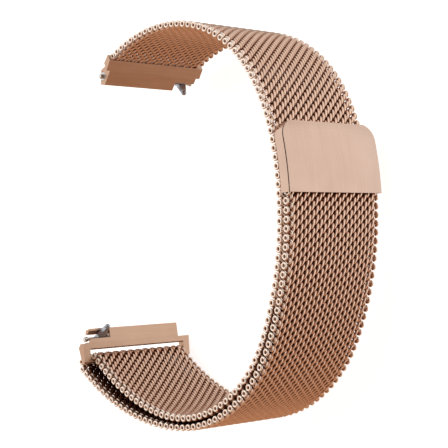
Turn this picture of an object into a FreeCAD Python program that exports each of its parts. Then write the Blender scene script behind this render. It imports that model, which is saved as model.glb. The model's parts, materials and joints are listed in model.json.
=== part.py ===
import FreeCAD, Part
import math
import os

os.makedirs("parts", exist_ok=True)

# A woven-mesh watch band with a magnetic clasp and two quick-release end pieces.
# It lies on its edge: X and Y span the band's C-shaped profile, and Z runs across its width.
# All sizes are in millimetres.

V = FreeCAD.Vector
UP = V(0, 0, 1)

# Driving sizes
LUG = 20.0                      # gap between a watch's lugs
MESH_THICK = 1.08
COIL = 0.69                     # spacing of the wire coils along the strap
COIL_BAR = 0.56                 # room one coil takes along the strap, clear of its neighbours
BAR_R = 0.75                    # outer radius of a spring bar's tube
TUBE_BORE = 0.61                # its inner radius
TIP_R = 0.45                    # radius of a spring bar's end tips
TIP_OUT = 0.6                   # how far a tip stands out of its end piece
TIP_CHAMFER = 0.12
FIT = 0.05                      # radial running clearance
STAGGER = 0.4                   # how far each coil sits off the strap's middle, one way or the other

# Widths across the strap
MESH_W = LUG + 0.4
LOOP_ARM = 1.4
SLOT_W = MESH_W + 1.0
LOOP_W = SLOT_W + 2 * LOOP_ARM
WIDE_BLOCK_W = LUG + 1.3
UPPER_LUG_W = LUG - 0.3
LOWER_LUG_W = LUG + 0.1
CLASP_W = MESH_W + 0.1
MID = LOOP_W / 2                # height of the strap's middle line; the loop's side is at Z = 0
BORE_R = BAR_R + FIT

# The strap's middle line, from the upper end piece round to the clasp.
# Each stretch is (radius, turn in degrees), or (0, length) where it is straight.
START_HEADING = 32.7
INNER_LAYER = [(29.0, -43.3), (23.4, -44.9), (31.3, -16.9), (47.5, -37.3), (23.3, -78.2), (37.0, -28.5)]
FOLD = [(1.2, 54.2), (0, 2.33), (1.2, 130.2)]
OUTER_LAYER = [(40.1, 40.65), (24.8, 61.5), (49.0, 42.0)]

# Strap stretches between flexing places, in coils
UPPER_RUNS = 5
UPPER_RUN_COILS = 13
BACK_COILS = 44
LOWER_RUNS = 6
PEEL_RUN_COILS = 11
CLASP_COILS = 8                 # coils from the last flexing place into the clasp

CLASP_LEN = 10.9                # along the strap
CLASP_GAP = 2.3                 # from the last flexing place to the clasp
CLASP_OUT = 1.2                 # clasp's outer face, from the strap's middle line
CLASP_IN = 0.72                 # clasp's back, from the strap's middle line
CLASP_WALL = 0.4
CLASP_PLATE = 0.55              # thickness of the cover's outer plate
CLASP_BASE = 0.15               # and of the plate that closes its back
CLASP_CORNER = 2.6
WELD_BAR_AT = 3.25              # weld bar's lower edge, from the clasp's lower edge
WELD_BAR = 0.6                  # its height
WELD_BAR_HALF = 0.5             # and half its thickness
MAGNET_AT = 4.2                 # magnets' lower edge, from the clasp's lower edge
MAGNET_EDGE = 1.6               # room round the magnets' other edges
MAGNET_GAP = 0.6                # between the two
MAGNET_OUT = 0.4                # their outer face, from the strap's middle line

UPPER_AXIS = (-3.0, -3.3)       # upper spring bar
LOWER_AXIS = (-5.2, -49.7)      # lower spring bar
LOOP_AXIS = (-3.25, -53.38)     # loop's crossbar
CROSSBAR_R = 0.4
WINDOW = 4.4                    # length of the opening that a release knob stands in
KNOB_IN = 0.5                   # the knob's reach towards the bar's middle, from its ball
KNOB_OUT = 1.1                  # and away from it, at the base
# Each knob's ball: its distances from the end piece's side and from the bar's axis,
# and its direction from the axis, in degrees from +X.
UPPER_KNOB = (2.4, 2.5, -47)
LOWER_KNOB = (3.05, 3.0, 51)
KNOB_THICK = 0.68
KNOB_FOOT = 0.9                 # how far out the knob's wide foot reaches before it narrows
KNOB_TOP = 0.34                 # half its width at the ball
COLLAR_R = 0.6
BALL_R = 0.48
NECK_R = 0.28
HEAD_AT = WINDOW + 0.4          # the pin's head, from the end piece's side
HEAD_LEN = 2.0
PLUG = 1.5                      # depth of the fixed tip's plug in the tube
SPRING_R = 0.56
SPRING_WIRE = 0.15
SPRING_PLAY = 0.02              # free room at each end of the spring


def stretches(parts):
    """Start, length, place, heading and curvature of each stretch of the strap's path."""
    table, s, x, y, h = [], 0.0, 0.0, 0.0, math.radians(START_HEADING)
    for radius, amount in parts:
        if radius == 0:
            table.append((s, amount, x, y, h, 0.0))
            x += amount * math.cos(h)
            y += amount * math.sin(h)
            s += amount
        else:
            turn = math.radians(amount)
            k = math.copysign(1 / radius, turn)
            table.append((s, abs(turn) * radius, x, y, h, k))
            x += (math.sin(h + turn) - math.sin(h)) / k
            y -= (math.cos(h + turn) - math.cos(h)) / k
            h += turn
            s += abs(turn) * radius
    return table, s


PATH, PATH_END = stretches(INNER_LAYER + FOLD + OUTER_LAYER)
INNER_END = stretches(INNER_LAYER)[1]
OUTER_START = stretches(INNER_LAYER + FOLD)[1]


def on_path(s):
    """Point and heading of the strap's middle line, s along it."""
    for start, length, x, y, h, k in PATH:
        if s <= start + length or start == PATH[-1][0]:
            d = s - start
            if k == 0:
                return x + d * math.cos(h), y + d * math.sin(h), h
            return (x + (math.sin(h + k * d) - math.sin(h)) / k,
                    y - (math.cos(h + k * d) - math.cos(h)) / k, h + k * d)


def nearest_gap(x, y, first, last):
    """The gap between two coils, from first to last, that is nearest to a point."""
    def away(n):
        px, py, _ = on_path(n * COIL)
        return math.hypot(px - x, py - y)
    return min((n + 0.5 for n in range(first, last)), key=away)


def prism(points, z0, z1):
    """A straight-sided solid with the given outline."""
    corners = [V(x, y, z0) for x, y in points]
    face = Part.Face(Part.makePolygon(corners + corners[:1]))
    return face.extrude(V(0, 0, z1 - z0))


def cylinder(centre, r, z0, z1):
    return Part.makeCylinder(r, z1 - z0, V(centre[0], centre[1], z0), UP)


def band(s0, s1, inside, outside, z0, z1):
    """A solid that follows the strap's path, from inside to outside of its middle line."""
    def point(s, off):
        x, y, h = on_path(s)
        return V(x + off * math.sin(h), y - off * math.cos(h), z0)
    m = (s0 + s1) / 2
    edges = [
        Part.Arc(point(s0, outside), point(m, outside), point(s1, outside)).toShape(),
        Part.makeLine(point(s1, outside), point(s1, -inside)),
        Part.Arc(point(s1, -inside), point(m, -inside), point(s0, -inside)).toShape(),
        Part.makeLine(point(s0, -inside), point(s0, outside)),
    ]
    return Part.Face(Part.Wire(edges)).extrude(V(0, 0, z1 - z0))


def coil(n):
    """Coil n of the mesh: a flattened bar across the strap. Every other coil sits nearer one edge,
    apart from the last ones, which are pressed in line to go into the clasp."""
    length = MESH_W - 2 * STAGGER
    low = MID - length / 2
    if n * COIL + COIL / 2 < clasp_start():
        low += STAGGER if n % 2 == 0 else -STAGGER
    ellipse = Part.Ellipse(V(0, 0, 0), MESH_THICK / 2, COIL_BAR / 2)
    bar = Part.Face(Part.Wire(ellipse.toShape())).extrude(V(0, 0, length))
    x, y, h = on_path(n * COIL)
    bar.rotate(V(0, 0, 0), UP, math.degrees(h) + 90)
    bar.translate(V(x, y, low))
    return bar


def coils(first, last):
    return Part.Compound([coil(n) for n in range(first, last)])


def upper_end_block():
    """The block welded to the mesh: a wide bar, and a narrower part between the lugs."""
    half = WIDE_BLOCK_W / 2
    wide = prism([(0.08, -0.69), (-0.64, 0.28), (-1.6, -1.15), (-0.85, -2.45)], MID - half, MID + half)
    half = UPPER_LUG_W / 2
    narrow = prism([(-0.4, -1.5), (-0.85, -2.45), (-2.25, -4.85), (-3.45, -4.75), (-3.5, -2.2), (-1.6, -1.15)],
                   MID - half, MID + half)
    block = wide.fuse(narrow).removeSplitter()
    block = block.cut(cylinder(UPPER_AXIS, BORE_R, 0, LOOP_W))
    window = Part.makeBox(6, 3.2, WINDOW, V(-5, -6.6, MID - half))
    return block.cut(window)


def lower_end_loop():
    """The block between the lugs and the loop that the strap folds round, cast in one."""
    half = LOWER_LUG_W / 2
    block = prism([(-4.55, -47.75), (-3.75, -50.85), (-5.6, -50.6), (-5.65, -48.25)], MID - half, MID + half)
    ledge = [(-3.3, -50.1), (-3.17, -51.05), (-3.35, -51.32), (-4.61, -51.34), (-4.72, -51.1), (-4.25, -50.3)]
    arm = [(-3.3, -50.1), (-4.25, -50.5), (-4.72, -51.1), (-3.65, -53.38), (-2.85, -53.38)]
    loop = prism(ledge, 0, LOOP_W)
    for z0 in (0, LOOP_W - LOOP_ARM):
        side = prism(arm, z0, z0 + LOOP_ARM)
        loop = loop.fuse(side.fuse(cylinder(LOOP_AXIS, CROSSBAR_R, z0, z0 + LOOP_ARM)))
    loop = loop.fuse(cylinder(LOOP_AXIS, CROSSBAR_R, 0, LOOP_W))
    body = block.fuse(loop).removeSplitter()
    body = body.cut(cylinder(LOWER_AXIS, BORE_R, 0, LOOP_W))
    front = prism([(-5.25, -49.0), (-4.6, -48.1), (-3.0, -48.1), (-3.0, -49.45), (-5.25, -49.45)],
                  MID + half - WINDOW, MID + half + 1)
    return body.cut(front)


def along(z, sign, length):
    """The span of length that starts at z and runs the way of sign, low end first."""
    return (z, z + length) if sign > 0 else (z - length, z)


def rounded_end(centre, r, z0, z1, sign):
    """A tip whose free end, on the side of sign, is chamfered."""
    tip = cylinder(centre, r, z0, z1)
    edge = [e for e in tip.Edges if abs(e.CenterOfMass.z - (z1 if sign > 0 else z0)) < 1e-6 and e.Closed]
    return tip.makeChamfer(TIP_CHAMFER, edge)


def bar_tube(centre, half, out):
    """The bar's tube, from the fixed end to the window. out is the way its knob end points."""
    z0, z1 = along(MID - out * (half - 0.05), out, 2 * half - WINDOW - 0.05)
    return cylinder(centre, BAR_R, z0, z1).cut(cylinder(centre, TUBE_BORE, z0 - 1, z1 + 1))


def bar_fixed_tip(centre, half, out):
    """The plug pressed into the tube's fixed end, with its tip outside the end piece."""
    end = MID - out * half
    plug = cylinder(centre, TUBE_BORE, *along(end + out * 0.05, out, PLUG - 0.05))
    neck = cylinder(centre, NECK_R, *along(end, out, 0.05))
    tip = rounded_end(centre, TIP_R, *along(end, -out, TIP_OUT), -out)
    return plug.fuse(neck).fuse(tip).removeSplitter()


def bar_pin(centre, half, out):
    """The sliding pin: a head in the tube, a thin neck through the window, and the tip."""
    end = MID + out * half
    tip = rounded_end(centre, TIP_R, *along(end, out, TIP_OUT), out)
    neck = cylinder(centre, NECK_R, *along(end, -out, HEAD_AT))
    head = cylinder(centre, TUBE_BORE - FIT, *along(end - out * HEAD_AT, -out, HEAD_LEN))
    return tip.fuse(neck).fuse(head).removeSplitter()


def bar_spring(centre, half, out):
    """The coil spring between the pin's head and the plug, as its outer sleeve."""
    head_end = half - HEAD_AT - HEAD_LEN
    z0, z1 = along(MID + out * head_end, -out, head_end + half - PLUG)
    sleeve = cylinder(centre, SPRING_R, z0 + SPRING_PLAY, z1 - SPRING_PLAY)
    return sleeve.cut(cylinder(centre, SPRING_R - SPRING_WIRE, z0 - 1, z1 + 1))


def bar_knob(centre, half, out, knob):
    """The release knob: a lever on the pin's neck, wide at its foot, with a ball at its end."""
    from_side, length, degrees = knob
    lean = V(math.cos(math.radians(degrees)), math.sin(math.radians(degrees)), 0)
    across = lean.cross(UP)
    ball = V(centre[0], centre[1], MID + out * (half - from_side))
    inner, outer = -out * KNOB_IN, out * KNOB_OUT
    outline = [(0, inner), (KNOB_FOOT, inner), (length, -out * KNOB_TOP),
               (length, out * KNOB_TOP), (KNOB_FOOT, outer), (0, outer)]
    corners = [ball + lean * a + UP * b - across * KNOB_THICK / 2 for a, b in outline]
    plate = Part.Face(Part.makePolygon(corners + corners[:1])).extrude(across * KNOB_THICK)
    collar = cylinder(centre, COLLAR_R, *sorted((ball.z + inner, ball.z + outer)))
    lever = collar.fuse(plate).fuse(Part.makeSphere(BALL_R, ball + lean * length))
    return lever.removeSplitter().cut(cylinder(centre, NECK_R, 0, LOOP_W))


def clasp_start():
    """Where the clasp's lower edge lies along the strap."""
    return (lower_gaps()[1][0] + 2 * PEEL_RUN_COILS) * COIL + CLASP_GAP


def plan(s0, length, half, corner, grow):
    """A tall prism over the clasp's plan, with its two top corners rounded."""
    x, y, h = on_path(s0 + length / 2)
    t = V(math.cos(h), math.sin(h), 0)
    n = V(math.sin(h), -math.cos(h), 0)
    base = V(x, y, MID) - n * 6
    low, high = -length / 2 - grow, length / 2

    def at(a, b):
        return base + t * a + UP * b
    c = corner * (1 - math.sqrt(0.5))
    edges = [
        Part.makeLine(at(low, -half), at(high - corner, -half)),
        Part.Arc(at(high - corner, -half), at(high - c, c - half), at(high, corner - half)).toShape(),
        Part.makeLine(at(high, corner - half), at(high, half - corner)),
        Part.Arc(at(high, half - corner), at(high - c, half - c), at(high - corner, half)).toShape(),
        Part.makeLine(at(high - corner, half), at(low, half)),
        Part.makeLine(at(low, half), at(low, -half)),
    ]
    return Part.Face(Part.Wire(edges)).extrude(n * 12)


def clasp_cover():
    """The outer plate with its side and top walls."""
    s = clasp_start()
    half = CLASP_W / 2
    outer = band(s, s + CLASP_LEN, CLASP_IN, CLASP_OUT, MID - half, MID + half)
    outer = outer.common(plan(s, CLASP_LEN, half, CLASP_CORNER, 1))
    room = band(s - 1, s + CLASP_LEN, CLASP_IN + 1, CLASP_OUT - CLASP_PLATE, 0, LOOP_W)
    room = room.common(plan(s, CLASP_LEN - 2 * CLASP_WALL, half - CLASP_WALL, CLASP_CORNER - CLASP_WALL, 3))
    return outer.cut(room)


def clasp_base():
    """The thin plate that closes the clasp's back."""
    s = clasp_start()
    half = CLASP_W / 2 - CLASP_WALL
    plate = band(s + 0.1, s + CLASP_LEN, CLASP_IN, CLASP_BASE - CLASP_IN, 0, LOOP_W)
    return plate.common(plan(s, CLASP_LEN - 2 * CLASP_WALL, half, CLASP_CORNER - CLASP_WALL, 3))


def clasp_magnets():
    """Two flat magnets side by side inside the clasp."""
    s = clasp_start()
    long = (MESH_W - MAGNET_GAP) / 2 - MAGNET_EDGE
    return Part.Compound([
        band(s + MAGNET_AT, s + CLASP_LEN - MAGNET_EDGE, CLASP_IN - CLASP_BASE, MAGNET_OUT, z, z + long)
        for z in (MID - MAGNET_GAP / 2 - long, MID + MAGNET_GAP / 2)])


def clasp_weld_bar():
    """The bar across the mesh's cut end, which holds it in the clasp."""
    s = clasp_start() + WELD_BAR_AT
    half = MESH_W / 2 - STAGGER
    return band(s, s + WELD_BAR, WELD_BAR_HALF, WELD_BAR_HALF, MID - half, MID + half)


def lower_gaps():
    """Coil gaps where the lower half flexes: the inner layer's, then the outer layer's, from the back."""
    first = UPPER_RUNS * UPPER_RUN_COILS + BACK_COILS
    last = int(INNER_END / COIL)
    step = (last - first + 1) / LOWER_RUNS
    outer, inner = [], []
    for i in range(LOWER_RUNS):
        x, y, _ = on_path((first + round(i * step) - 0.5) * COIL)
        outer.append(nearest_gap(x, y, int(OUTER_START / COIL) + 1, int(PATH_END / COIL)))
        x, y, _ = on_path(outer[-1] * COIL)
        inner.append(nearest_gap(x, y, first - 6, last))
    return inner, outer


def mesh_nodes():
    """Every run of coils, by node name."""
    inner, outer = lower_gaps()
    nodes = {}
    for i in range(UPPER_RUNS):
        nodes["mesh_upper_%d" % (i + 1)] = (i * UPPER_RUN_COILS, (i + 1) * UPPER_RUN_COILS)
    back = UPPER_RUNS * UPPER_RUN_COILS
    split = back + BACK_COILS // 2
    nodes["mesh_back_top"] = (back, split)
    nodes["mesh_back_bottom"] = (split, int(inner[0] + 0.5))
    fold_first = int(INNER_END / COIL) + 1
    fold_last = int(OUTER_START / COIL) + 1
    inside = [int(g + 0.5) for g in inner] + [fold_first]
    outside = [int(g + 0.5) for g in outer] + [fold_last]
    for i in range(LOWER_RUNS):
        nodes["mesh_inner_%d" % (i + 1)] = (inside[i], inside[i + 1])
        nodes["mesh_outer_%d" % (i + 1)] = (outside[i + 1], outside[i])
    nodes["mesh_fold"] = (fold_first, fold_last)
    a = outside[0]
    nodes["mesh_peel_1"] = (a, a + PEEL_RUN_COILS)
    nodes["mesh_peel_2"] = (a + PEEL_RUN_COILS, a + 2 * PEEL_RUN_COILS)
    nodes["mesh_clasp_end"] = (a + 2 * PEEL_RUN_COILS, a + 2 * PEEL_RUN_COILS + CLASP_COILS)
    return nodes


def main():
    made = {"upper_end_block": upper_end_block(), "lower_end_loop": lower_end_loop()}
    bars = (("upper", UPPER_AXIS, UPPER_LUG_W / 2, -1, UPPER_KNOB),
            ("lower", LOWER_AXIS, LOWER_LUG_W / 2, 1, LOWER_KNOB))
    for side, axis, half, out, knob in bars:
        made[side + "_bar_tube"] = bar_tube(axis, half, out)
        made[side + "_bar_fixed_tip"] = bar_fixed_tip(axis, half, out)
        made[side + "_bar_spring"] = bar_spring(axis, half, out)
        made[side + "_bar_pin"] = bar_pin(axis, half, out)
        made[side + "_bar_knob"] = bar_knob(axis, half, out, knob)
    made["clasp_cover"] = clasp_cover()
    made["clasp_base"] = clasp_base()
    made["clasp_magnets"] = clasp_magnets()
    made["clasp_weld_bar"] = clasp_weld_bar()
    for name, (first, last) in mesh_nodes().items():
        made[name] = coils(first, last)

    box = Part.Compound(list(made.values())).optimalBoundingBox()
    shift = V(-(box.XMin + box.XMax) / 2, -(box.YMin + box.YMax) / 2, 0)
    for name, shape in made.items():
        moved = shape.copy()
        moved.translate(shift)
        moved.exportStep("parts/%s.step" % name)


main()
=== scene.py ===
"""A woven-mesh watch band: bent wire coils, brushed end pieces and clasp, and bright spring bars."""
import json
import math
import bmesh
import bpy
import numpy as np
from mathutils import Matrix, Vector


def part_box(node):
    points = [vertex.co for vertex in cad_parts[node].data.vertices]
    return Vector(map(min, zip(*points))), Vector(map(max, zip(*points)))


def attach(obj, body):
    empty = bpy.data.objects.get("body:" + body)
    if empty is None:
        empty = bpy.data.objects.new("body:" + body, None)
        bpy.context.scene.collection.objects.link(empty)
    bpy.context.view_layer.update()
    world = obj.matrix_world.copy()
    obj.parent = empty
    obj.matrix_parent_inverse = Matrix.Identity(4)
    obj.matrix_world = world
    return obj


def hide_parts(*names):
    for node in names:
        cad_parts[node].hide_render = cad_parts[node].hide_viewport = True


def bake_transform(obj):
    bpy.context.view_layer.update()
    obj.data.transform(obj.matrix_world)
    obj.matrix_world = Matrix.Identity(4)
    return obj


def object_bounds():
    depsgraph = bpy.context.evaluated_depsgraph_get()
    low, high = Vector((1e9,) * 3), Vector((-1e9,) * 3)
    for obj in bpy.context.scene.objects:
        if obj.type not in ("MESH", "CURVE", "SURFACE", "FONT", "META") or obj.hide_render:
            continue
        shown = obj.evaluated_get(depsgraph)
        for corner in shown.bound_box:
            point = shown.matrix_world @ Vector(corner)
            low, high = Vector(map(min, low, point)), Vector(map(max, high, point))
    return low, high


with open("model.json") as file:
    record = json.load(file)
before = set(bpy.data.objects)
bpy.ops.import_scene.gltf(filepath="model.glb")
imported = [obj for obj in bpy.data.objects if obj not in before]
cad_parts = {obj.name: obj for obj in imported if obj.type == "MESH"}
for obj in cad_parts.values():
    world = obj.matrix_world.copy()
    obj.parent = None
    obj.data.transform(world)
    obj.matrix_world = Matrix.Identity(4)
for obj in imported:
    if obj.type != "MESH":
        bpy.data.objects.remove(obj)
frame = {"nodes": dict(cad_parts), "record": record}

MM = 0.001
CAD_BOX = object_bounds()
SAME_PLACE = 1e-6               # corners closer than this are one corner, in metres

# The weave, in millimetres
WIRE = 0.235                    # wire radius
RING_WIRE = 0.19                # wire radius in the closed rings at the edges
COIL_REACH = 0.68               # half a coil's width along the strap, to the wire's middle
COIL_RISE = 0.34                # half its height through the strap
TURN = 1.69                     # from turn to turn, across the strap
SWAY = 0.1                      # how much the wire straightens on the faces and turns at the bends
RING_REACH = 0.42               # half the width of the closed ring at a coil's end
RING_RISE = 0.39                # half its height
TUCK_TURNS = 0.6                # how far the wire's end goes on, tucked in behind the ring
TUCK_DEPTH = 0.4
TUCK_CURL = 0.8
BEND_SWELL = 0.05               # how much fatter the pressed wire is at its bends
STEPS = 18                      # stations round one turn
SIDES = 7                       # facets round the wire
FLEX_COILS = 6                  # coils on each side of a flexing place that bend with it

# Painted light on the wire: a point this far from the strap's middle, as a share of its half thickness, is
# in painted shade or painted highlight
CROWN_LOW = 0.36
CROWN_HIGH = 0.97
RING_DEPTH = 0.65               # how far in from a coil's end its ring keeps its painted highlight
FULL_TUCK = 0.25                # the share of its tuck where the wire's end, behind the ring, has lost its painted highlight and gone to painted shade
DOUBLED = ("mesh_inner_", "mesh_fold", "mesh_outer_")    # runs whose back face, between the two layers, gets painted shade

# The joint round the clasp's sides, drawn as a dark strip of painted shade for its groove's shadow, in
# millimetres
SEAM_UNDER = 0.09               # below the outer face
SEAM_WIDTH = 0.17
SEAM_PROUD = 0.012
SEAM_REACH = 1.2                # how far the curved outer face falls away at its ends
OUTER_FACE = 0.8                # a face that looks outwards by this much is the outer one,
SIDE_WALL = 0.5                 # one that looks outwards by less than this is a wall,
OPEN_END = 0.7                  # and a wall that looks down the strap by this much is the open end's

# The springs inside the bars
SPRING_WIRE = 0.09
SPRING_TURNS = 20
SPRING_SIDES = 8

# How far edges are rounded, in millimetres, and with how many facets
EDGE_ANGLE = 28                 # edges sharper than this, in degrees
COVER_EDGE = (0.07, 2)
BASE_EDGE = (0.05, 1)
WELD_BAR_EDGE = (0.1, 2)
MAGNET_EDGE = (0.08, 2)
BLOCK_EDGE = (0.25, 4)
LOOP_EDGE = (0.15, 3)
BAR_EDGE = (0.05, 2)
KNOB_EDGE = (0.06, 2)

# Colours
WIRE_BRIGHT = (0.94, 0.68, 0.53)
# painted shade: the wire's colour down in the weave
WIRE_WEAVE_SHADE = (0.34, 0.15, 0.08)
# painted shade: the wire's colour between the two layers
WIRE_GAP_SHADE = (0.12, 0.04, 0.02)
# painted highlight: the pale colour of the closed rings at the edges
RING_HIGHLIGHT = (1.0, 0.9, 0.8)
CLASP_LOW = (0.58, 0.41, 0.325)
CLASP_HIGH = (0.7, 0.51, 0.41)
ENDS_LOW = (0.51, 0.33, 0.23)
ENDS_HIGH = (0.63, 0.43, 0.315)
# painted shade: the colours of the dark strip in the clasp's joint
SEAM_LOW = (0.03, 0.018, 0.012)
SEAM_HIGH = (0.07, 0.04, 0.03)
STEEL = (0.78, 0.77, 0.76)
SPRING_STEEL = (0.6, 0.6, 0.62)
KNOB_STEEL = (0.46, 0.5, 0.56)
PLATING = (0.5, 0.49, 0.48)
FLOOR_PAINT = (0.9, 0.9, 0.9)
WHITE = (1, 1, 1)

# Surfaces
WIRE_ROUGH = 0.25
WIRE_ROUGH_SPAN = (0.2, 0.34)
CLASP_ROUGH = 0.22
ENDS_ROUGH = 0.36
SEAM_ROUGH = 0.6
BRUSH_SMOOTHER = 0.06           # how much roughness the brush lines take away, and add
BRUSH_ROUGHER = 0.08
STEEL_ROUGH = 0.16
SPRING_ROUGH = 0.25
KNOB_ROUGH = 0.2
KNOB_METALLIC = 0.8
PLATING_ROUGH = 0.3
TURNED_SPAN = (0.7, 1.5)        # the turned rings' share of a bar's roughness
FLOOR_ROUGH = 0.9

# Noise: scales to the metre, and brush marks, drawn out along the axes where the number is below 1
NOISE_SPAN = (0.3, 0.7)         # where nearly all of the noise lies
EVEN = (1, 1, 1)
WIRE_DRIFT = 700
WIRE_VARY = 0.3                 # how much that drift shifts the painted shade and highlight
WIRE_GRAIN = 9000
BRUSH_LINES = 5000
BRUSH_DETAIL = 4.0
BRUSH_CLOUD = 180
CLOUD_SHARE = 0.35              # of the clouding in the colour. The brush lines have the rest
CLASP_BRUSH = (0.015, 0.015, 1)
ENDS_BRUSH = (1, 1, 0.03)
TURNED_RINGS = 4000
TURNED_BRUSH = (0.02, 0.02, 1.0)
SMUDGES = 900
SMUDGE_SHADE = 0.86

# Bumps: depth in millimetres, and strength
WIRE_BUMP = (0.004, 0.4)
BRUSH_BUMP = (0.01, 0.5)
STEEL_BUMP = (0.004, 0.3)

# The camera's stand, in degrees and millimetres
AZIMUTH = 3.353
ELEVATION = 42.25
ROLL = 1.83
DISTANCE = 214.3
LENS = 102.6
NEAREST = 10.0
AIM = (0.24, 0.42)              # the middle of the picture, from the middle of the band

# The studio
FLOOR_HALF = 2.0                # in metres
FLOOR_GLOW = 0.75
BOX_WAY = (0.74, 0.0, -0.67)    # the soft boxes' line
BOX_EDGE = (0.3, 0.75)          # their edges, as the cosine from that line
TOP_EDGE = (0.35, 0.9)          # the edges of the light above, by height
TOP_LEVEL = 0.75
LOW_EDGE = (-0.75, 0.1)         # the edges of the warm light below, by height
SHADE = (0.12, 0.07, 0.05)
WARM = (0.54, 0.315, 0.195)
BRIGHT = (1.15, 1.12, 1.1)


def coil_places(node):
    """Centre and height span of every coil bar in a mesh node, in millimetres."""
    bm = bmesh.new()
    bm.from_mesh(frame["nodes"][node].data)
    bmesh.ops.remove_doubles(bm, verts=bm.verts, dist=SAME_PLACE)
    found, seen = [], set()
    for start in bm.verts:
        if start in seen:
            continue
        island, front = [], [start]
        seen.add(start)
        while front:
            v = front.pop()
            island.append(v.co)
            for e in v.link_edges:
                w = e.other_vert(v)
                if w not in seen:
                    seen.add(w)
                    front.append(w)
        co = np.array(island) / MM
        low, high = co.min(0), co.max(0)
        found.append(((low[0] + high[0]) / 2, (low[1] + high[1]) / 2, low[2], high[2]))
    bm.free()
    return found


def numbered(prefix):
    """The nodes called prefix and a number, in order."""
    return sorted((n for n in frame["nodes"] if n.startswith(prefix)), key=lambda n: int(n[len(prefix):]))


def run_nodes():
    """The mesh nodes in their order along the strap, from the upper end piece to the clasp."""
    return (numbered("mesh_upper_") + ["mesh_back_top", "mesh_back_bottom"] + numbered("mesh_inner_")
            + ["mesh_fold"] + numbered("mesh_outer_")[::-1] + numbered("mesh_peel_") + ["mesh_clasp_end"])


def read_strap():
    """Every coil in order: its centre and height span, and the node it belongs to."""
    coils, nodes = [], []
    here = Vector(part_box("upper_end_block")[1]).to_2d() / MM
    for node in run_nodes():
        left = coil_places(node)
        while left:
            nearest = min(left, key=lambda c: (c[0] - here[0]) ** 2 + (c[1] - here[1]) ** 2)
            left.remove(nearest)
            coils.append(nearest)
            nodes.append(node)
            here = nearest[:2]
    return np.array(coils), nodes


# Every coil, and at each one the way along the strap and the way that one face of it looks: in towards the
# wrist from the upper end piece to the fold, and outwards from there to the clasp.
COILS, COIL_NODE = read_strap()
ALONG = np.gradient(COILS[:, :2], axis=0)
ALONG /= np.linalg.norm(ALONG, axis=1)[:, None]
FACING = np.stack([ALONG[:, 1], -ALONG[:, 0]], axis=1)
MIDDLE = (COILS[:, 2].min() + COILS[:, 3].max()) / 2


def ease(t):
    """A smooth step from 0 to 1."""
    t = np.clip(t, 0, 1)
    return t * t * (3 - 2 * t)


def coil_line(n):
    """Coil n as a bent wire: its middle line, the way out from the coil's own axis, the wire's radius,
    and how far each station is tucked in behind the closed ring at the coil's end."""
    low, high = COILS[n, 2] + RING_WIRE, COILS[n, 3] - RING_WIRE
    shift = TURN / 2 if n % 2 else 0.0
    first = 2 * math.pi * (low - MIDDLE - shift) / TURN
    last = 2 * math.pi * (high - MIDDLE - shift) / TURN
    closing = 2 * math.pi * (1 + TUCK_TURNS)
    count = int(round((last - first + 2 * closing) / (2 * math.pi) * STEPS))
    phase = np.linspace(first - closing, last + closing, count + 1)
    z = MIDDLE + shift + TURN / (2 * math.pi) * (phase + SWAY * np.sin(2 * phase))
    past = np.minimum(phase - first, last - phase)
    tuck = ease((-past - 2 * math.pi) / (closing - 2 * math.pi))
    z = np.where(z < MIDDLE, np.maximum(z, low) + TUCK_DEPTH * tuck, np.minimum(z, high) - TUCK_DEPTH * tuck)
    inside = ease(past / math.pi)
    curl = 1 - TUCK_CURL * tuck
    reach = curl * (RING_REACH + (COIL_REACH - RING_REACH) * inside)
    rise = curl * (RING_RISE + (COIL_RISE - RING_RISE) * inside)
    place = (COILS[n, :2] + (reach * np.cos(phase))[:, None] * ALONG[n]
             + (rise * np.sin(phase))[:, None] * FACING[n])
    out = (np.cos(phase) / reach)[:, None] * ALONG[n] + (np.sin(phase) / rise)[:, None] * FACING[n]
    out = np.column_stack([out, np.zeros(len(z))])
    radius = RING_WIRE + (WIRE + BEND_SWELL * np.cos(phase) ** 2 - RING_WIRE) * inside
    return np.column_stack([place, z]), out / np.linalg.norm(out, axis=1)[:, None], radius, tuck


def tube(line, out, radius, sides):
    """Vertices and quads of a round tube along a line. Its ends are open, and out of sight."""
    along = np.gradient(line, axis=0)
    along /= np.linalg.norm(along, axis=1)[:, None]
    out = out - (out * along).sum(1)[:, None] * along
    out /= np.linalg.norm(out, axis=1)[:, None]
    across = np.cross(along, out)
    angle = np.arange(sides) * 2 * math.pi / sides
    ring = np.cos(angle)[None, :, None] * out[:, None] + np.sin(angle)[None, :, None] * across[:, None]
    verts = (line[:, None] + np.broadcast_to(radius, len(line))[:, None, None] * ring).reshape(-1, 3)
    i = np.arange(len(line) - 1)[:, None] * sides
    j = np.arange(sides)[None]
    k = (j + 1) % sides
    quads = np.stack([i + j, i + k, i + sides + k, i + sides + j], axis=-1).reshape(-1, 4)
    return verts, quads


def new_mesh(name, verts, quads, material):
    """An object from vertices in millimetres and quads."""
    mesh = bpy.data.meshes.new(name)
    mesh.vertices.add(len(verts))
    mesh.vertices.foreach_set("co", (np.asarray(verts) * MM).astype(np.float32).ravel())
    mesh.loops.add(quads.size)
    mesh.loops.foreach_set("vertex_index", quads.astype(np.int32).ravel())
    mesh.polygons.add(len(quads))
    mesh.polygons.foreach_set("loop_start", np.arange(0, quads.size, 4, dtype=np.int32))
    mesh.polygons.foreach_set("use_smooth", np.ones(len(quads), bool))
    mesh.update(calc_edges=True)
    mesh.validate()
    piece = bpy.data.objects.new(name, mesh)
    bpy.context.scene.collection.objects.link(piece)
    mesh.materials.append(material)
    return piece


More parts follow.
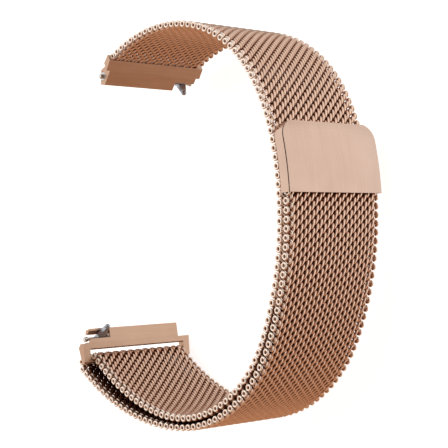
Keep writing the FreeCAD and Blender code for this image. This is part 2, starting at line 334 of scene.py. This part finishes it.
def woven(name, first, last, material):
    """One piece of mesh: coils first to last, as bent wire, with the painted light at each point: from 0 for
    painted shade down in the weave to 1 for a painted highlight on the faces, up to 2 for the pale painted
    highlight in the rings at the edges, and -1 for painted shade between the two layers of the lower half."""
    verts, quads, painted_light, base = [], [], [], 0
    for n in range(first, last):
        line, out, radius, tuck = coil_line(n)
        v, q = tube(line, out, radius, SIDES)
        verts.append(v)
        quads.append(q + base)
        base += len(v)
        # Painted light: a painted highlight towards the crowns of the faces, painted shade down in the weave
        height = (v[:, :2] - COILS[n, :2]) @ FACING[n] / (COIL_RISE + WIRE)
        # Painted highlight on the closed ring at each end of the coil
        edge = ease(1 - np.minimum(v[:, 2] - COILS[n, 2], COILS[n, 3] - v[:, 2]) / RING_DEPTH)
        bright = np.maximum(ease((np.abs(height) - CROWN_LOW) / (CROWN_HIGH - CROWN_LOW)), edge) + edge
        # The tucked end behind the ring loses its painted highlight and takes painted shade
        bright *= 1 - np.repeat(ease(tuck / FULL_TUCK), SIDES)
        # Painted shade on the side that faces in between the two layers
        between = ease(-height / CROWN_LOW) * (1 - edge) if COIL_NODE[n].startswith(DOUBLED) else 0
        painted_light.append(bright - between * (1 + bright))
    piece = new_mesh(name, np.concatenate(verts), np.concatenate(quads), material)
    layer = piece.data.attributes.new("painted_light", "FLOAT", "POINT")
    layer.data.foreach_set("value", np.concatenate(painted_light).astype(np.float32))
    return piece


def node_material(name, colour, roughness, metallic=1.0):
    """A material with its node tree and shader, ready for nodes to be added."""
    m = bpy.data.materials.new(name)
    m.use_nodes = True
    shader = m.node_tree.nodes["Principled BSDF"]
    shader.inputs["Base Color"].default_value = (*colour, 1)
    shader.inputs["Roughness"].default_value = roughness
    shader.inputs["Metallic"].default_value = metallic
    return m, m.node_tree, shader


def feed(tree, socket, value, *more):
    """Link value to a socket, or set it there if it is a number or a colour."""
    if isinstance(value, bpy.types.NodeSocket):
        tree.links.new(value, socket)
    else:
        socket.default_value = (*value, *more) if more else value


def math_node(tree, operation, *values):
    """A Math node fed by sockets or numbers."""
    node = tree.nodes.new("ShaderNodeMath")
    node.operation = operation
    for socket, value in zip(node.inputs, values):
        feed(tree, socket, value)
    return node.outputs[0]


def ranged(tree, value, from_span, to_span, smooth=False):
    """Value taken from one span to another, and held at its ends."""
    node = tree.nodes.new("ShaderNodeMapRange")
    node.interpolation_type = "SMOOTHSTEP" if smooth else "LINEAR"
    tree.links.new(value, node.inputs["Value"])
    for name, number in zip(("From Min", "From Max", "To Min", "To Max"), (*from_span, *to_span)):
        node.inputs[name].default_value = number
    return node.outputs[0]


def texture(tree, scale, stretch=EVEN, detail=3.0):
    """Noise in the object's own space; stretch below 1 draws it out along that axis."""
    place = tree.nodes.new("ShaderNodeTexCoord")
    grow = tree.nodes.new("ShaderNodeMapping")
    grow.inputs["Scale"].default_value = stretch
    tree.links.new(place.outputs["Object"], grow.inputs["Vector"])
    noise = tree.nodes.new("ShaderNodeTexNoise")
    noise.inputs["Scale"].default_value = scale
    noise.inputs["Detail"].default_value = detail
    tree.links.new(grow.outputs["Vector"], noise.inputs["Vector"])
    return noise.outputs["Fac"]


def mixed(tree, factor, low, high):
    """A colour between low and high, each of them a colour or a socket."""
    node = tree.nodes.new("ShaderNodeMix")
    node.data_type = "RGBA"
    tree.links.new(factor, node.inputs["Factor"])
    for name, colour in (("A", low), ("B", high)):
        feed(tree, [i for i in node.inputs if i.name == name and i.type == "RGBA"][0], colour, 1)
    return [o for o in node.outputs if o.type == "RGBA"][0]


def raised(tree, shader, height, distance, strength):
    """Bump from a height texture."""
    bump = tree.nodes.new("ShaderNodeBump")
    bump.inputs["Strength"].default_value = strength
    bump.inputs["Distance"].default_value = distance * MM
    tree.links.new(height, bump.inputs["Height"])
    tree.links.new(bump.outputs["Normal"], shader.inputs["Normal"])


def wire_material():
    """Rose-gold wire with painted light in its colour: a painted highlight on the faces' crowns, painted
    shade down in the weave, a pale painted highlight in the rings at the edges, and dark painted shade
    between the two layers."""
    m, tree, shader = node_material("rose_gold_wire", WIRE_BRIGHT, WIRE_ROUGH)
    painted_light = tree.nodes.new("ShaderNodeAttribute")
    painted_light.attribute_name = "painted_light"
    drift = texture(tree, WIRE_DRIFT)
    vary = math_node(tree, "MULTIPLY_ADD", drift, WIRE_VARY, -WIRE_VARY / 2)
    level = math_node(tree, "ADD", painted_light.outputs["Fac"], vary)
    # painted shade down in the weave, painted highlight on the crowns
    colour = mixed(tree, level, WIRE_WEAVE_SHADE, WIRE_BRIGHT)
    # painted shade between the two layers
    sheltered = math_node(tree, "ADD", painted_light.outputs["Fac"], 1.0)
    colour = mixed(tree, sheltered, WIRE_GAP_SHADE, colour)
    # pale painted highlight on the rings at the edges
    ring = math_node(tree, "SUBTRACT", painted_light.outputs["Fac"], 1.0)
    tree.links.new(mixed(tree, ring, colour, RING_HIGHLIGHT), shader.inputs["Base Color"])
    tree.links.new(ranged(tree, drift, NOISE_SPAN, WIRE_ROUGH_SPAN), shader.inputs["Roughness"])
    raised(tree, shader, texture(tree, WIRE_GRAIN), *WIRE_BUMP)
    return m


def brushed_material(name, low, high, roughness, stretch):
    """Sheet metal with fine brush lines along one way and faint clouding."""
    m, tree, shader = node_material(name, high, roughness)
    lines = texture(tree, BRUSH_LINES, stretch, BRUSH_DETAIL)
    cloud = texture(tree, BRUSH_CLOUD)
    both = math_node(tree, "MULTIPLY_ADD", cloud, CLOUD_SHARE, 0.0)
    both = math_node(tree, "MULTIPLY_ADD", lines, 1 - CLOUD_SHARE, both)
    colour = mixed(tree, ranged(tree, both, NOISE_SPAN, (0, 1)), low, high)
    span = (roughness - BRUSH_SMOOTHER, roughness + BRUSH_ROUGHER)
    tree.links.new(colour, shader.inputs["Base Color"])
    tree.links.new(ranged(tree, lines, NOISE_SPAN, span), shader.inputs["Roughness"])
    raised(tree, shader, lines, *BRUSH_BUMP)
    return m


def steel_material(name, colour, roughness, metallic=1.0):
    """Turned steel: fine rings round the bar, and small smudges."""
    m, tree, shader = node_material(name, colour, roughness, metallic)
    turned = texture(tree, TURNED_RINGS, TURNED_BRUSH)
    smudge = texture(tree, SMUDGES)
    shaded = [c * SMUDGE_SHADE for c in colour]
    smudged = mixed(tree, ranged(tree, smudge, NOISE_SPAN, (0, 1)), shaded, colour)
    span = [roughness * share for share in TURNED_SPAN]
    tree.links.new(smudged, shader.inputs["Base Color"])
    tree.links.new(ranged(tree, turned, NOISE_SPAN, span), shader.inputs["Roughness"])
    raised(tree, shader, turned, *STEEL_BUMP)
    return m


def softened(node, material, edge):
    """A CAD node with its sharp edges rounded and a new material."""
    part = frame["nodes"][node]
    weld = part.modifiers.new("weld", "WELD")
    weld.merge_threshold = SAME_PLACE
    bevel = part.modifiers.new("edge", "BEVEL")
    bevel.width = edge[0] * MM
    bevel.segments = edge[1]
    bevel.limit_method = "ANGLE"
    bevel.angle_limit = math.radians(EDGE_ANGLE)
    bevel.harden_normals = True
    for held in part.material_slots:
        held.material = material


def rim_of(bm, out, down):
    """The edges between the clasp cover's outer face and its walls, except at its open end: each corner
    with its neighbours along the rim and the ways that the wall and the face look."""
    far = max(v.co.dot(out) for v in bm.verts)
    rim = {}
    for e in bm.edges:
        if len(e.link_faces) != 2:
            continue
        face, wall = sorted(e.link_faces, key=lambda f: -f.normal.dot(out))
        if face.normal.dot(out) < OUTER_FACE or abs(wall.normal.dot(out)) > SIDE_WALL:
            continue
        if wall.normal.dot(down) > OPEN_END or far - e.verts[0].co.dot(out) > SEAM_REACH * MM:
            continue
        for v, w in (tuple(e.verts), tuple(e.verts)[::-1]):
            rim.setdefault(v, []).append((w, wall.normal.copy(), face.normal.copy()))
    return rim


def clasp_seam(material):
    """A dark strip round the clasp's sides, just under the edge of its outer face: painted shade standing in
    for the shadow in the joint's groove.
    """
    bm = bmesh.new()
    bm.from_mesh(frame["nodes"]["clasp_cover"].data)
    bmesh.ops.remove_doubles(bm, verts=bm.verts, dist=SAME_PLACE)
    bmesh.ops.recalc_face_normals(bm, faces=bm.faces)
    out = Vector((*FACING[-1], 0)).normalized()
    down = -Vector((*ALONG[-1], 0)).normalized()
    rim = rim_of(bm, out, down)
    chain = [min((v for v in rim if len(rim[v]) == 1), key=lambda v: v.co.z)]
    while True:
        onward = [w for w, _, _ in rim[chain[-1]] if w not in chain]
        if not onward:
            break
        chain.append(onward[0])
    verts = []
    for v in chain:
        side = sum((wall for _, wall, _ in rim[v]), Vector()).normalized()
        up = sum((face for _, _, face in rim[v]), Vector()).normalized()
        for proud, under in ((SEAM_PROUD, 0), (SEAM_PROUD, 1), (-SEAM_PROUD, 1), (-SEAM_PROUD, 0)):
            verts.append(v.co / MM + side * proud - up * (SEAM_UNDER + SEAM_WIDTH * under))
    bm.free()
    quads = [[4 * i + j, 4 * i + (j + 1) % 4, 4 * i + 4 + (j + 1) % 4, 4 * i + 4 + j]
             for i in range(len(chain) - 1) for j in range(4)]
    last = 4 * (len(chain) - 1)
    quads += [[3, 2, 1, 0], [last, last + 1, last + 2, last + 3]]
    piece = new_mesh("clasp_seam", verts, np.array(quads), material)
    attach(piece, "clasp")


def coil_spring(name, sleeve, material):
    """The spring inside a bar: wire wound in the sleeve's room, with a closed turn at each end."""
    low, high = [np.array(v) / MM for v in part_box(sleeve)]
    centre = (low + high) / 2
    turn_r = (high[0] - low[0]) / 2 - SPRING_WIRE
    length = high[2] - low[2] - 2 * SPRING_WIRE
    turns = SPRING_TURNS + 2
    phase = np.linspace(0, 2 * math.pi * turns, turns * STEPS + 1)
    t = np.clip((phase / (2 * math.pi) - 1) / SPRING_TURNS, 0, 1)
    closed = 2 * SPRING_WIRE
    z = low[2] + SPRING_WIRE + closed * np.clip(phase / (2 * math.pi), 0, 1) + (length - 2 * closed) * t
    z += closed * np.clip(phase / (2 * math.pi) - turns + 1, 0, 1)
    out = np.column_stack([np.cos(phase), np.sin(phase), np.zeros(len(z))])
    line = np.array([centre[0], centre[1], 0]) + turn_r * out
    line[:, 2] = z
    piece = new_mesh(name, *tube(line, out, SPRING_WIRE, SPRING_SIDES), material)
    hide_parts(sleeve)
    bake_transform(piece)


def nodes_within(runs, starts, first, last):
    """The mesh nodes that have any of the coils first to last."""
    return [r for r, s, e in zip(runs, starts, starts[1:]) if s < last and e > first]


def stiff(runs, starts, body, first, last, material):
    """Coils first to last, all moving with one body."""
    if first >= last:
        return
    within = nodes_within(runs, starts, first, last)
    piece = woven("weave_%d_%d" % (first, last - 1), first, last, material)
    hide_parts(*within)
    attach(piece, body[within[0]])


def bent(runs, starts, first, last, material):
    """Coils first to last at a flexing place, as one piece left in world space and attached to no body."""
    piece = woven("weave_%d_%d" % (first, last - 1), first, last, material)
    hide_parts(*nodes_within(runs, starts, first, last))
    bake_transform(piece)


def weave(runs, starts, body, material):
    """The strap: a piece at each flexing place, attached to no body, and stiff pieces between them, each
    attached to one body. Where the free end leaves the outer layer, that flexing place is two pieces, one on
    each side of the gap."""
    stiff_from = 0
    for i in range(1, len(runs)):
        a, b = body[runs[i - 1]], body[runs[i]]
        if a == b:
            continue
        gap = starts[i]
        first = gap - min(FLEX_COILS, (gap - starts[i - 1]) // 2)
        last = gap + min(FLEX_COILS, (starts[i + 1] - gap + 1) // 2)
        stiff(runs, starts, body, stiff_from, first, material)
        stiff_from = last
        if {a, b} == {"lower_arm_1", "peel_1"}:
            bent(runs, starts, first, gap, material)
            bent(runs, starts, gap, last, material)
        else:
            bent(runs, starts, first, last, material)
    stiff(runs, starts, body, stiff_from, len(COILS), material)


def band():
    """The whole band: its strap, clasp, end pieces and spring bars."""
    body = {n: b for b, ns in frame["record"]["behaviour"]["bodies"].items() for n in ns}
    runs = run_nodes()
    starts = [COIL_NODE.index(r) for r in runs] + [len(COILS)]
    weave(runs, starts, body, wire_material())
    face = brushed_material("brushed_clasp", CLASP_LOW, CLASP_HIGH, CLASP_ROUGH, CLASP_BRUSH)
    ends = brushed_material("brushed_ends", ENDS_LOW, ENDS_HIGH, ENDS_ROUGH, ENDS_BRUSH)
    steel = steel_material("bright_steel", STEEL, STEEL_ROUGH)
    wound = steel_material("spring_steel", SPRING_STEEL, SPRING_ROUGH)
    dark = steel_material("dark_steel", KNOB_STEEL, KNOB_ROUGH, KNOB_METALLIC)
    magnet = steel_material("magnet_plating", PLATING, PLATING_ROUGH)
    softened("clasp_cover", face, COVER_EDGE)
    # a dark strip of painted shade along the clasp's joint
    clasp_seam(brushed_material("seam_shade", SEAM_LOW, SEAM_HIGH, SEAM_ROUGH, EVEN))
    softened("clasp_base", face, BASE_EDGE)
    softened("clasp_weld_bar", ends, WELD_BAR_EDGE)
    softened("clasp_magnets", magnet, MAGNET_EDGE)
    softened("upper_end_block", ends, BLOCK_EDGE)
    softened("lower_end_loop", ends, LOOP_EDGE)
    for side, fixed, from_low in (("upper", "upper_arm_1", False), ("lower", "loop", True)):
        for part in ("tube", "fixed_tip", "pin"):
            softened("%s_bar_%s" % (side, part), steel, BAR_EDGE)
        softened(side + "_bar_knob", dark, KNOB_EDGE)
        coil_spring(side + "_coil_spring", side + "_bar_spring", wound)


def camera():
    """A long lens on the band, set by its direction and distance from the band's middle."""
    low, high = CAD_BOX
    middle = [(a + b) / 2 for a, b in zip(low, high)]
    aim = Vector((middle[0] + AIM[0] * MM, middle[1] + AIM[1] * MM, middle[2]))
    a, e = math.radians(AZIMUTH), math.radians(ELEVATION)
    back = Vector((math.cos(e) * math.cos(a), math.cos(e) * math.sin(a), math.sin(e)))
    right = Vector((0, 1, 0)).cross(back).normalized()
    up = back.cross(right)
    cam = bpy.data.objects.new("camera", bpy.data.cameras.new("camera"))
    cam.data.lens = LENS
    cam.data.clip_start = NEAREST * MM
    place = Matrix.Translation(aim + back * DISTANCE * MM)
    turn = Matrix((right, up, back)).transposed().to_4x4()
    cam.matrix_world = place @ turn @ Matrix.Rotation(math.radians(ROLL), 4, "Z")
    bpy.context.scene.collection.objects.link(cam)
    bpy.context.scene.camera = cam


def floor_sheet():
    """A pale floor that the band lies on."""
    mesh = bpy.data.meshes.new("floor")
    corners = [(FLOOR_HALF * x, FLOOR_HALF * y, 0) for x, y in ((-1, -1), (1, -1), (1, 1), (-1, 1))]
    mesh.from_pydata(corners, [], [(0, 1, 2, 3)])
    floor = bpy.data.objects.new("floor", mesh)
    bpy.context.scene.collection.objects.link(floor)
    m, _, shader = node_material("floor_paint", FLOOR_PAINT, FLOOR_ROUGH, 0.0)
    shader.inputs["Emission Color"].default_value = (*WHITE, 1)
    shader.inputs["Emission Strength"].default_value = FLOOR_GLOW
    mesh.materials.append(m)
    floor.visible_glossy = False


def studio():
    """Soft boxes on two opposite sides and above (+Y), dark shade between them, warm light below, and a
    white backdrop."""
    bpy.context.scene.view_settings.view_transform = "Standard"
    floor_sheet()
    world = bpy.data.worlds.new("studio")
    bpy.context.scene.world = world
    world.use_nodes = True
    tree = world.node_tree
    nodes, links = tree.nodes, tree.links
    way = nodes.new("ShaderNodeTexCoord")
    split = nodes.new("ShaderNodeSeparateXYZ")
    links.new(way.outputs["Generated"], split.inputs[0])
    dot = nodes.new("ShaderNodeVectorMath")
    dot.operation = "DOT_PRODUCT"
    links.new(way.outputs["Generated"], dot.inputs[0])
    dot.inputs[1].default_value = BOX_WAY
    beside = math_node(tree, "ABSOLUTE", dot.outputs["Value"])
    boxes = ranged(tree, beside, BOX_EDGE, (0, 1), smooth=True)
    top = ranged(tree, split.outputs["Y"], TOP_EDGE, (0, TOP_LEVEL), smooth=True)
    level = ranged(tree, split.outputs["Y"], LOW_EDGE, (0, 1), smooth=True)
    glow = mixed(tree, math_node(tree, "MAXIMUM", boxes, top), SHADE, BRIGHT)
    links.new(mixed(tree, level, WARM, glow), nodes["Background"].inputs["Color"])
    backdrop = nodes.new("ShaderNodeBackground")
    backdrop.inputs["Color"].default_value = (*WHITE, 1)
    seen = nodes.new("ShaderNodeLightPath")
    mix = nodes.new("ShaderNodeMixShader")
    links.new(seen.outputs["Is Camera Ray"], mix.inputs[0])
    links.new(nodes["Background"].outputs[0], mix.inputs[1])
    links.new(backdrop.outputs[0], mix.inputs[2])
    links.new(mix.outputs[0], nodes["World Output"].inputs["Surface"])


band()
camera()
studio()
